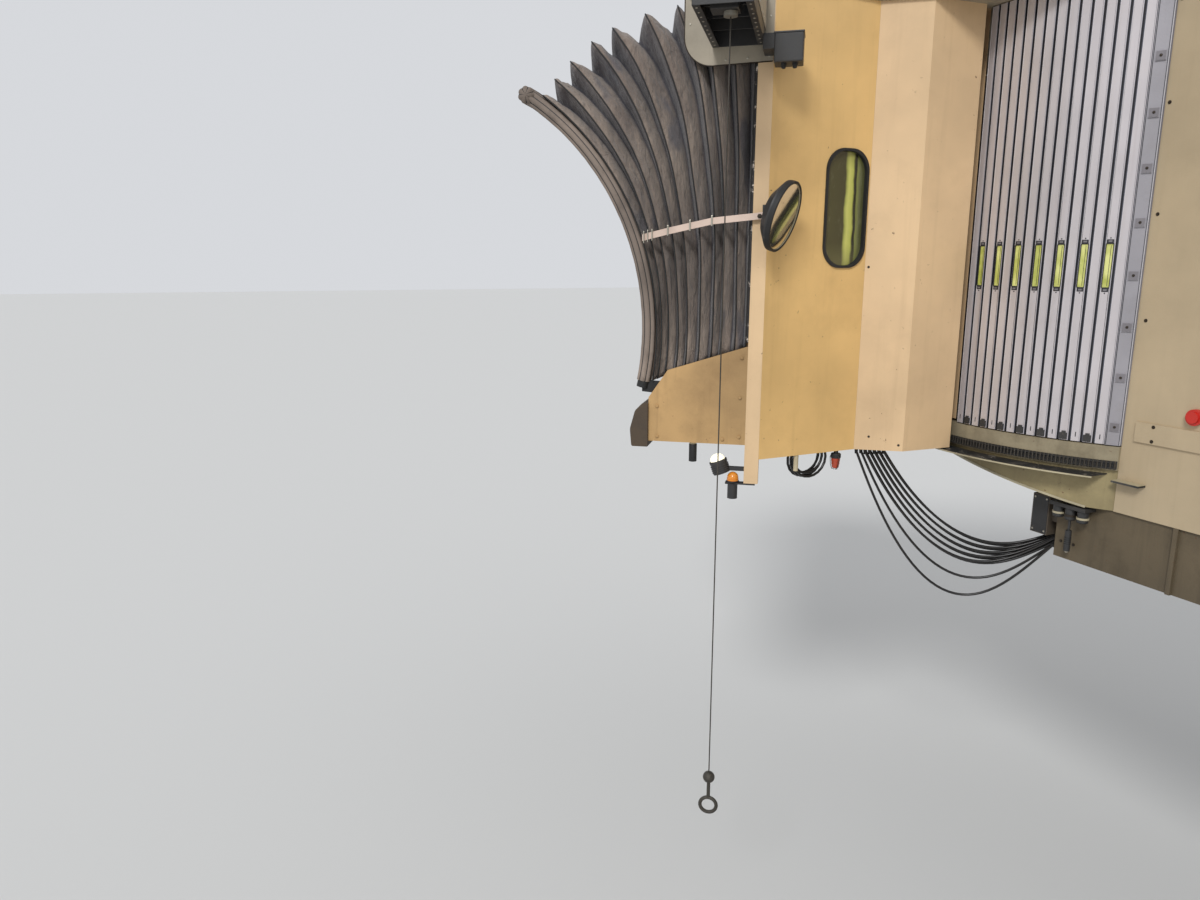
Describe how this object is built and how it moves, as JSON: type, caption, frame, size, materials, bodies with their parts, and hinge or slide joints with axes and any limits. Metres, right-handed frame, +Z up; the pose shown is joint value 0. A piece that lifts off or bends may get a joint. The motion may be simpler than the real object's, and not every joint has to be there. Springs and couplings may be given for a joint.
{
  "type": "passenger boarding bridge",
  "caption": "Airport passenger boarding bridge with two telescoping tunnels, wheeled lift columns, a round terminal end and a swinging cab with slat curtains and a folding fabric canopy.",
  "frame": {"origin": "centre of the terminal column's base plate, on the ground", "axes": "+X along the tunnel to the cab, +Y to the left, +Z up"},
  "size_m": [25.2318, 6.7814, 7.028],
  "materials": {
    "beige_paint": "satin",
    "cream_paint": "satin",
    "roof_paint": "satin",
    "dark_paint": "satin",
    "olive_paint": "matte",
    "grey_steel": "matte",
    "floor_steel": "matte",
    "slat_aluminium": "satin",
    "black_rubber": "matte",
    "tyre": "matte",
    "glass": "gloss",
    "mirror": "gloss",
    "fabric": "matte",
    "wire": "satin",
    "amber": "gloss",
    "red": "gloss",
    "hub_paint": "satin"
  },
  "bodies": {
    "bridge": {"base_plate": "grey_steel", "terminal_column": "beige_paint", "terminal_floor": "floor_steel", "terminal_walls": "beige_paint", "terminal_roof": "roof_paint", "inner_floor": "floor_steel", "inner_walls": "beige_paint", "inner_roof": "roof_paint", "outer_floor": "floor_steel", "outer_walls": "beige_paint", "outer_roof": "roof_paint", "portal_frames": "beige_paint", "trim_bands": "beige_paint", "girders": "olive_paint", "ring": "beige_paint", "rack": "dark_paint", "rim_beams": "beige_paint", "edge_sheet": "dark_paint", "lift_columns": "beige_paint", "lift_rods": "grey_steel", "truck": "grey_steel", "wheel_hubs": "hub_paint", "tyres": "tyre", "cable_bracket": "dark_paint", "plug_rail": "dark_paint", "red_button": "red", "curtain_strips": "slat_aluminium", "curtain_left": "slat_aluminium", "curtain_right": "slat_aluminium", "cable_bundle": "black_rubber"},
    "cab": {"cab_floor": "floor_steel", "cab_roof": "roof_paint", "front_posts": "cream_paint", "side_walls": "cream_paint", "window_seals": "black_rubber", "window_panes": "glass", "curtain_boxes": "cream_paint", "closure_panels": "cream_paint", "bumper": "black_rubber", "hood": "roof_paint", "hoist_box": "dark_paint", "hoist_wire": "wire", "hoist_hook": "wire", "mirror_body": "dark_paint", "mirror_glass": "mirror", "floodlight": "dark_paint", "beacon_holder": "dark_paint", "beacon": "amber", "marker_lamp": "red", "drain_stubs": "hub_paint", "cable_coil": "black_rubber", "king_pin": "grey_steel", "canopy": "fabric", "canopy_strap": "slat_aluminium"},
    "canopy_front": {"canopy_bow": "dark_paint"}
  },
  "joints": [
    {"name": "cab_swing", "type": "hinge", "parent": "bridge", "child": "cab", "pos_m": [19, 0, 3.9], "axis": [0, 0, 1], "range_deg": [-85, 36], "deforming": ["curtain_left", "curtain_right", "cable_bundle"]},
    {"name": "canopy_fold", "type": "hinge", "parent": "cab", "child": "canopy_front", "pos_m": [21.18241, 2.84417, 4.08], "axis": [0.7934, -0.6088, 0], "range_deg": [0, 30], "deforming": ["canopy", "canopy_strap"]}
  ]
}
